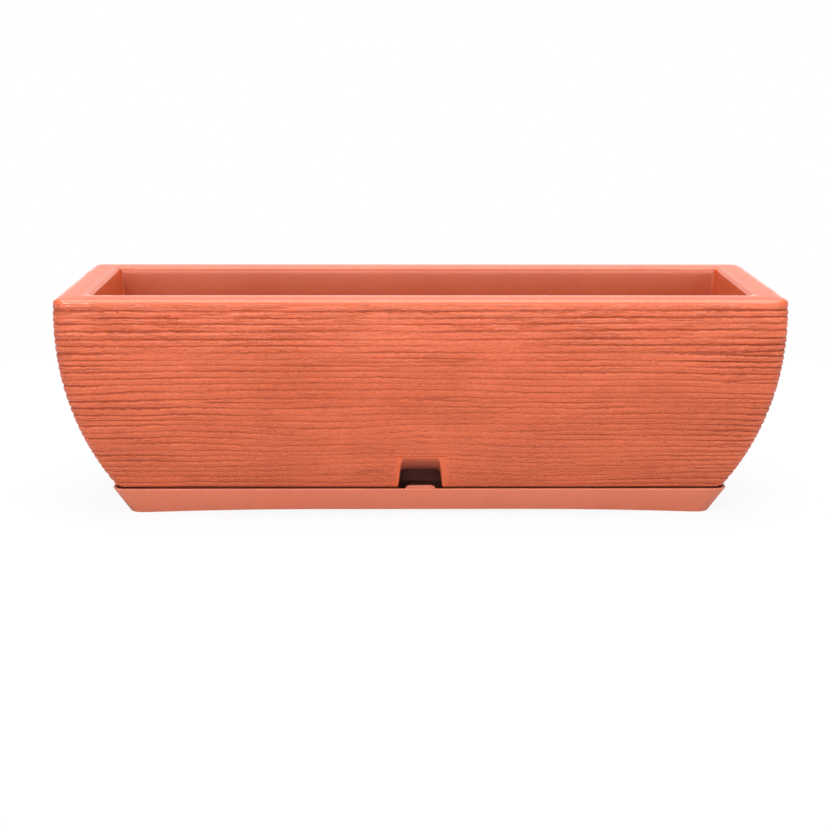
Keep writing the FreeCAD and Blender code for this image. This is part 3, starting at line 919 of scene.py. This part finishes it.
    def pocket_section(self, growth: float = 0.0) -> tuple[Array, float]:
        """Draw the side view of a pocket: its back is upright and its ceiling is an arc that
        rises forwards to the wall. With a growth by the thickness of all the walls it is the
        view from inside the trough.

        Args:
            growth: Thickness of all the walls, or 0.

        Returns:
            The section as points of distance from the middle and level, and the level of
            its head, where the arc meets the wall.
        """
        back = self.half_depth - self.inset(self.pocket_foot_level) - self.pocket_depth
        run = self.half_depth - self.inset(self.pocket_head_level) - back
        centre = self.pocket_head_level + math.sqrt(self.pocket_scoop ** 2 - run ** 2)
        radius = self.pocket_scoop - growth
        angle = np.linspace(0, np.pi / 2, 2000)
        out, level = back + radius * np.sin(angle), centre - radius * np.cos(angle)
        reach = np.sqrt((self.wall_radius - growth) ** 2 - (self.widest_level - level) ** 2)
        inside = np.logical_and.accumulate(out < self.half_depth - self.wall_radius + reach)
        foot = [[back - growth, self.base_level + growth], [back - growth, centre - radius]]
        return np.vstack([foot, np.stack([out, level], axis=1)[inside]]), float(level[inside][-1])

    def sink(self, points: Array, columns: Columns, growth: float = 0.0) -> Array:
        """Press the pockets into rows of points that run up a wall from its foot. The growth is
        the thickness of the pocket's walls, where they are seen from inside.

        Each row below the pocket's head has a point on the pocket's section, at the same share
        of the section's length as the row has of the wall's. A column lies on the line from the
        wall's point to it, as far along as its depth says. Where a pocket is shallow, its
        roundings shrink to a share of its depth.

        Args:
            points: The points by row and column.
            columns: The places round the walls.
            growth: Thickness of the pocket's walls, or 0.

        Returns:
            The points with the pockets.
        """
        section, head = self.pocket_section(growth)
        middle = np.argmax((columns.hand != 0) & (columns.share == 0) & (columns.normal[:, 1] < 0))
        wall = np.stack([np.abs(points[:, middle, 1]), points[:, 0, 2]], axis=1)
        climbed, length = (np.append(0, np.cumsum(np.hypot(*np.diff(line, axis=0).T)))
                           for line in (wall, section))
        whole = np.interp(head, wall[:, 1], climbed)
        share = np.clip(climbed / whole, 0, 1) * length[-1]
        below = (climbed < whole)[:, None]
        goal = np.stack([np.interp(share, length, axis) for axis in section.T], axis=1)
        goal = np.where(below, goal, wall)
        depth = np.hypot(*(wall - goal).T)[:, None]
        edge = np.minimum(self.pocket_edge, 0.3 * depth) * columns.edge
        bend = np.minimum(self.pocket_corner, 0.6 * depth) * columns.bend
        along = (depth * columns.deep - bend + edge) / np.maximum(depth, 1e-9)
        along = np.where((columns.hand != 0) & below, along, 0)
        result = points.copy()
        result[:, :, 1] += along * (goal - wall)[:, :1] * np.sign(columns.normal[:, 1])
        result[:, :, 2] += along * (goal - wall)[:, 1:]
        width = self.pocket_half_width(result[:, :, 2]) + growth
        x = columns.hand * (columns.share * width + columns.shift)
        result[:, :, 0] = np.where(columns.hand != 0, x, result[:, :, 0])
        return result

    # ---- the floor

    def fence(self, outline: Array, columns: Columns) -> tuple[list[int], list[int]]:
        """Choose the columns that stand at the corners of the drained field and where the
        lines between two drains meet its long sides.

        Args:
            outline: The points of the walls' foot.
            columns: The places round the walls.

        Returns:
            The columns' numbers along the front and along the back, both with the corners.
        """
        lines = (np.arange(1, self.drain_count) - self.drain_count / 2) * self.drain_pitch
        diagonal = [int(np.argmin(np.hypot(columns.normal[:, 0] - x, columns.normal[:, 1] - y)))
                    for x, y in ((-1, -1), (1, -1), (1, 1))]
        square = 0.999
        sides = (np.flatnonzero(facing * columns.normal[:, 1] > square) for facing in (-1, 1))
        front, back = ([int(side[np.argmin(np.abs(outline[side, 0] - x))]) for x in lines] for side in sides)
        return [diagonal[0], *front, diagonal[1]], [diagonal[2], *back[::-1], len(outline)]

    def floor(self, outline: Array, fence: tuple[list[int], list[int]]) -> tuple[Array, list[Array]]:
        """Lay a flat net between the foot's row and the drains.

        The drained field is a rectangle with as many points on its edge as there are columns.
        Lines divide it into a cell for each drain, and a cell's edge shrinks onto the drain's
        circle along straight lines towards its middle.

        Args:
            outline: the foot's row of points.
            fence: the columns' numbers at the field's corners and at the lines.

        Returns:
            The net's points, the field's edge first, and for each cell three rows of point
            numbers: the circle, a row round it, and the cell's edge.
        """
        count, half_x, half_y = len(outline), self.drained_half_length, self.drained_half_depth
        front, back = fence
        lines = (np.arange(self.drain_count + 1) - self.drain_count / 2) * self.drain_pitch
        lines = np.clip(lines, -half_x, half_x)
        edge = np.empty((count, 2))
        wrapped = np.vstack([outline, outline[:1]])
        for ends, side in ((front, -1), (back, 1)):
            part = np.arange(ends[0], ends[-1])
            order = np.argsort(wrapped[ends, 0])
            edge[part, 0] = np.interp(outline[part, 0], wrapped[ends, 0][order], lines)
            edge[part, 1] = side * half_y
        for first, last, side in ((0, front[0], -1), (front[-1], back[0], 1)):
            part = outline[first:last + 1, 1]
            edge[first:last + 1, 0] = side * half_x
            edge[first:last + 1, 1] = part / np.abs(part).max() * half_y
        signs = np.array([[-1, 1], [-1, -1], [1, -1], [1, 1]])
        edge[[0, front[0], front[-1], back[0]]] = signs * (half_x, half_y)
        across = np.linspace(-half_y, half_y, self.line_cells + 1)[1:-1]
        between = np.stack(np.meshgrid(lines[1:-1], across, indexing="ij"), axis=-1).reshape(-1, 2)
        numbers = count + np.arange(len(between)).reshape(-1, len(across))
        points, total, cells = [edge, between], count + len(between), []
        for cell in range(self.drain_count):
            place = self.drain_count - 1 - cell
            right = np.arange(front[-1] + 1, back[0]) if place == 0 else numbers[cell]
            left = np.arange(1, front[0]) if cell == 0 else numbers[cell - 1][::-1]
            rim = np.concatenate([np.arange(front[cell], front[cell + 1] + 1), right,
                                  np.arange(back[place], back[place + 1] + 1) % count, left])
            middle = np.array([(cell + 0.5 - self.drain_count / 2) * self.drain_pitch, 0.0])
            away = np.vstack(points[:2])[rim] - middle
            away = away / np.linalg.norm(away, axis=1)[:, None]
            points += [middle + away * self.drain_radius, middle + away * self.drain_ring]
            cells.append(np.vstack([total + np.arange(2 * len(rim)).reshape(2, -1), rim]))
            total += 2 * len(rim)
        flat = np.vstack(points)
        return np.column_stack([flat, np.full(len(flat), outline[0, 2])]), cells

    # ---- the piece

    def relief(self, points: Array, level: Array, sheet: Sheet) -> tuple[Array, dict[str, Array]]:
        """Work out the grain: it covers the walls but for the rim, the very foot and a border
        round the pockets.

        Args:
            points: The points by row and column.
            level: The height of each row.
            sheet: The grid on the walls.

        Returns:
            The depth of the relief and the values by name that the material reads.
        """
        top = sheet.rise[-1]
        upright = step(*self.grain_begin, sheet.rise) * (1 - step(top - self.grain_margin, top, sheet.rise))
        beside = np.abs(points[:, :, 0]) - self.pocket_half_width(level)[:, None] - self.pocket_edge
        beside = np.where(np.abs(points[:, :, 1]) < self.drained_half_depth, self.half_length, beside)
        clear = np.maximum(beside, (level - self.pocket_head_level)[:, None])
        grained = upright[:, None] * step(0, self.pocket_margin, clear)
        outward = np.abs(points[:, :, 0]).max(axis=0) / self.half_length
        turns, strength = self.grain.phase(sheet), self.grain.strength(sheet, outward)
        depth = self.grain.hollow(sheet, turns, strength) * grained
        crack = sum(item.over(points[:, :, 0], points[:, :, 2]) for item in self.grain.cracks)
        crack = crack * (points[:, :, 1] < 0) * grained
        values = {"grain": grained, "cut": strength * grained, "crack": crack,
                  "cosine": np.cos(2 * np.pi * turns), "sine": np.sin(2 * np.pi * turns)}
        return depth + self.grain.crack_depth * crack, values

    def shade(self, wall: Array, sunk: Array) -> Array:
        """Work out how little light reaches the outside: it falls off with the depth below the
        wall in the pockets, and in a line along the tray's top edge.

        Args:
            wall: The points without the pockets.
            sunk: The points with them.

        Returns:
            The shade, from 0 for none to 1.
        """
        deep = np.hypot(wall[:, :, 1] - sunk[:, :, 1], wall[:, :, 2] - sunk[:, :, 2])
        pocket = step(0.05 * MM, 0.6 * MM, deep) * (1 - 0.55 * np.exp(-deep / self.pocket_dusk))
        above = sunk[:, :, 2] - self.nest_level
        begin, full, fading, end = self.nest_line
        nested = step(begin, full, above) * (1 - step(fading, end, above))
        return np.clip(pocket + self.nest_shade * nested, 0, 1)

    def lip_values(self, rows: Rows, level: Array, columns: Columns) -> dict[str, Array]:
        """Work out the values that the inside has: a faint shade down the lip of the long sides,
        and where the rim's inner edge is smooth.

        Args:
            rows: The rows of the inside.
            level: The height of each point.
            columns: The places round the walls.

        Returns:
            The values by name.
        """
        down = self.height - level
        smooth = step(self.crown_line, self.rim_width - self.rim_inner_round, rows.inset)[:, None]
        lengthwise = 1 - 0.9 * np.abs(columns.normal[:, 0])
        return {"shade": self.lip_shade * step(0, self.lip_dusk, down) * lengthwise,
                "edge": smooth * (1 - step(*self.edge_end, down))}

    def build(self) -> bpy.types.Object:
        """Build the trough as one closed mesh.

        Returns:
            The mesh object.
        """
        columns = self.columns()
        outer, rise = self.outer_rows()
        inner, first_inside = self.rim_rows()
        count = len(columns.hand)
        outside = self.stand(outer, columns)
        widest = outside[int(np.argmin(outer.inset))]
        steps = np.linalg.norm(np.roll(widest, -1, axis=0) - widest, axis=1)
        sheet = Sheet(np.append(0, np.cumsum(steps)[:-1]), rise, float(steps.sum()))
        depth, values = self.relief(outside, outer.level, sheet)
        flat = np.cos(outer.tilt)[:, None]
        normal = np.dstack([flat * columns.normal[:, 0], flat * columns.normal[:, 1],
                            np.repeat(np.sin(outer.tilt)[:, None], count, axis=1)])
        unsunk = outside - normal * depth[:, :, None]
        outside = self.sink(unsunk, columns)
        inside = self.stand(inner, columns, self.wall)
        inside[first_inside:] = self.sink(inside[:first_inside - 1:-1], columns, self.wall)[::-1]
        fence = self.fence(outside[0], columns)
        under, cells = self.floor(outside[0], fence)
        over, _ = self.floor(inside[-1], fence)
        points = np.vstack([outside.reshape(-1, 3), inside.reshape(-1, 3), under, over])
        rows = np.arange((len(outside) + len(inside)) * count).reshape(-1, count)
        below, above = rows.size, rows.size + len(under)
        faces = [grid_faces(np.vstack([below + np.arange(count), rows, above + np.arange(count)]))]
        faces += [grid_faces(np.vstack([cell[::-1] + above, cell + below])) for cell in cells]
        piece = make_object("moulded_trough", points, np.vstack(faces))
        values.update(shade=self.shade(unsunk, outside), edge=np.zeros(depth.shape))
        within = self.lip_values(inner, inside[:, :, 2], columns)
        for name, value in values.items():
            whole = np.zeros(len(points))
            whole[:rows.size] = np.append(value, within.get(name, np.zeros(inside.shape[:2])))
            layer = piece.data.attributes.new(name, "FLOAT", "POINT")
            layer.data.foreach_set("value", whole.astype(np.float32))
        ahead = np.zeros(len(points))
        ahead[:rows.size] = np.tile(sheet.run, len(rows))
        # All but the outside lies above every band of the walls' finish.
        upward = np.full(len(points), rise[-1] + 20 * MM)
        upward[:depth.size] = np.repeat(rise, count)
        unroll(piece, ahead, upward, sheet.girth)
        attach(piece, Body.TROUGH.value)
        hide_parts("trough")
        return piece


# ---- the drip tray

def dress_tray(finish: MouldedPlastic) -> bpy.types.Object:
    """Give the drip tray, whose walls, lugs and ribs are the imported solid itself, its finish.

    Args:
        finish: The tray's plastic.

    Returns:
        The tray's object.
    """
    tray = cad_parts["drip_tray"]
    tray.data.materials.clear()
    tray.data.materials.append(finish.material())
    return tray


# ---- the studio

@dataclass(frozen=True)
class Lamp:
    """A soft box: its name, its place and its size in metres, and its power in watts."""

    name: str
    place: tuple[float, float, float]
    size: Span
    power: float


LAMPS = (
    Lamp("top_box", (0.0, -0.15, 2.0), (2.0, 1.0), 32.0),
    Lamp("front_box", (-0.2, -1.3, 1.7), (1.5, 0.3), 2.0),
    Lamp("left_glint", (-0.72, -1.75, 1.15), (0.2, 0.2), 8.5),
    Lamp("right_glint", (0.75, -1.1, 1.9), (0.3, 0.3), 6.0),
    Lamp("back_box", (0.0, 0.9, 1.5), (1.8, 0.6), 17.0),
    Lamp("low_box", (0.0, -2.2, 0.35), (2.2, 0.5), 21.5),
    Lamp("left_box", (-1.5, -0.9, 1.0), (0.5, 0.9), 5.5),
    Lamp("right_box", (1.6, -0.8, 1.0), (0.5, 0.9), 6.0),
)


@dataclass
class Studio:
    """The pale floor, the soft lights and the camera, which stands at the eye and is turned
    right by the yaw, down by the pitch and about its own axis by the roll."""

    eye: Vector
    pitch: float
    yaw: float
    roll: float
    focal_pixels: float
    frame_width: float = 827.0
    sensor: float = 36.0
    aim: Vector = field(default_factory=lambda: Vector((0.0, 0.0, 0.12)))
    ambient: float = 0.22
    mirrored: float = 0.60
    horizon: float = 1.1
    floor_half: float = 6.0
    floor_own: float = 0.88
    floor_fade: Span = (0.40, 0.80)

    def camera(self) -> None:
        """Set the camera up, which would look along +Y without its turns."""
        forward = Vector((math.sin(self.yaw) * math.cos(self.pitch),
                          math.cos(self.yaw) * math.cos(self.pitch), -math.sin(self.pitch)))
        right = Vector((math.cos(self.yaw), -math.sin(self.yaw), 0.0))
        up = right.cross(forward)
        across = math.cos(self.roll) * right + math.sin(self.roll) * up
        upward = math.cos(self.roll) * up - math.sin(self.roll) * right
        turn = Matrix((across, upward, -forward)).transposed().to_4x4()
        data = bpy.data.cameras.new("camera")
        data.sensor_fit = "HORIZONTAL"
        data.sensor_width = self.sensor
        data.lens = self.focal_pixels * self.sensor / self.frame_width
        bpy.context.scene.camera = put("camera", data, Matrix.Translation(self.eye) @ turn)

    def hang(self, lamp: Lamp) -> None:
        """Hang a soft box that faces the planter.

        Args:
            lamp: Size, strength and place of the box.
        """
        data = bpy.data.lights.new(lamp.name, "AREA")
        data.shape, data.size, data.size_y = "RECTANGLE", *lamp.size
        data.energy = lamp.power
        turn = (Vector(lamp.place) - self.aim).to_track_quat("Z", "Y").to_matrix().to_4x4()
        put(lamp.name, data, Matrix.Translation(lamp.place) @ turn)

    def white(self) -> bpy.types.Material:
        """Make the floor's material: matt white that takes the shadow, and for the camera
        mostly a plain white of its own, which takes over with the distance.

        Returns:
            The floor's material.
        """
        nodes = Nodes(bpy.data.materials.new("floor_white"))
        seen = nodes.add("LightPath", None, "Is Camera Ray")
        place = nodes.add("TexCoord", None, "Object")
        away = nodes.add("VectorMath", {"operation": "LENGTH"}, "Value", s0=place)
        own = self.floor_own + away.ramped(*self.floor_fade) * (1.0 - self.floor_own)
        cloth = nodes.add("BsdfDiffuse", Color=(0.8, 0.8, 0.8), Roughness=0.5)
        glow = nodes.add("Emission", Color=(1.0, 1.0, 1.0), Strength=1.0)
        return nodes.finish(nodes.add("MixShader", s0=seen * own, s1=cloth, s2=glow))

    def floor(self) -> None:
        """Lay the floor, a flat square of cells."""
        line = np.linspace(-self.floor_half, self.floor_half, 5)
        x, y = np.meshgrid(line, line)
        points = np.stack([x, y, np.zeros_like(x)], axis=-1).reshape(-1, 3)
        number = np.arange(x.size).reshape(x.shape)
        faces = np.stack([number[:-1, :-1], number[:-1, 1:], number[1:, 1:], number[1:, :-1]], axis=-1)
        floor = make_object("floor", points, faces.reshape(-1, 4))
        floor.data.materials.append(self.white())

    def sky(self) -> None:
        """Surround everything with an even soft light that the camera sees as white. Reflections
        see it stronger, most of all along the horizon behind the planter."""
        world = bpy.data.worlds.new("soft_room")
        bpy.context.scene.world = world
        nodes = Nodes(world)
        camera, glossy = (nodes.add("LightPath", None, name) for name in ("Is Camera Ray", "Is Glossy Ray"))
        behind, level = nodes.split(nodes.add("TexCoord", None, "Generated"), "YZ")
        low = (1 - abs(level)).clipped() ** 10.0
        mirrored = self.mirrored + behind.ramped(0.2, 0.8) * low * self.horizon
        strength = camera + (1 - camera) * (glossy * mirrored + (1 - glossy) * self.ambient)
        nodes.finish(nodes.add("Background", Color=(1.0, 1.0, 1.0), Strength=strength), "OutputWorld")

    def build(self) -> None:
        """Set up the camera, the floor and the lights."""
        self.camera()
        self.floor()
        self.sky()
        for lamp in LAMPS:
            self.hang(lamp)


# ---- making

def main() -> None:
    """Build the planter's pieces in order, dress them and set the studio up."""
    logging.basicConfig(level=logging.INFO, format="%(name)s: %(message)s")
    bpy.context.scene.view_settings.view_transform = "Standard"
    highest = Vector(CAD_BOX[1])
    trough_low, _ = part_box("trough")
    # The paler colour is clouds of tone and, on the trough, painted light low on the walls and on the
    # grooves' lips; the darker one is mottles, fibres, pits and painted shade in the grooves.
    body, hollow, pale_tone_and_light = linear(205, 90, 49), linear(138, 48, 26), linear(217, 107, 66)
    grained = GrainedPlastic(Slot.GRAINED.value, body, hollow, pale_tone_and_light, 0.28, 0.010)
    smooth = TrayPlastic(Slot.SMOOTH.value, linear(206, 116, 88), hollow, linear(210, 124, 97), 0.36, 0.03)
    cracks = [Crack(begin * MM, end * MM, level * MM, depth) for begin, end, level, depth in (
        (-57, -25, 40.6, 0.9), (-18, 12, 74.6, 0.7), (-10, 10, 69.8, 0.7), (236, 284, 90.2, 0.9),
        (240, 279, 80.2, 1.0), (236, 277, 66.8, 0.9), (106, 176, 134.6, 0.6), (-136, -110, 179.6, 0.7),
        (-286, -262, 88.0, 0.6), (30, 52, 57.0, 0.5))]
    trough = Trough(half_length=highest.x, half_depth=highest.y, base_level=trough_low.z,
                    height=highest.z, grain=Grain(cracks=cracks)).build()
    trough.data.materials.append(grained.material())
    tray = dress_tray(smooth)
    for piece, part in ((trough, Body.TROUGH), (tray, Body.TRAY)):
        LOG.info("%s on the body %s: %d faces", piece.name, part.value, len(piece.data.polygons))
    Studio(eye=Vector((-22.5, -1465.0, 415.1)) * MM, pitch=math.radians(13.090), yaw=math.radians(0.680),
           roll=math.radians(0.125), focal_pixels=1700.0).build()


if __name__ == "__main__":
    main()
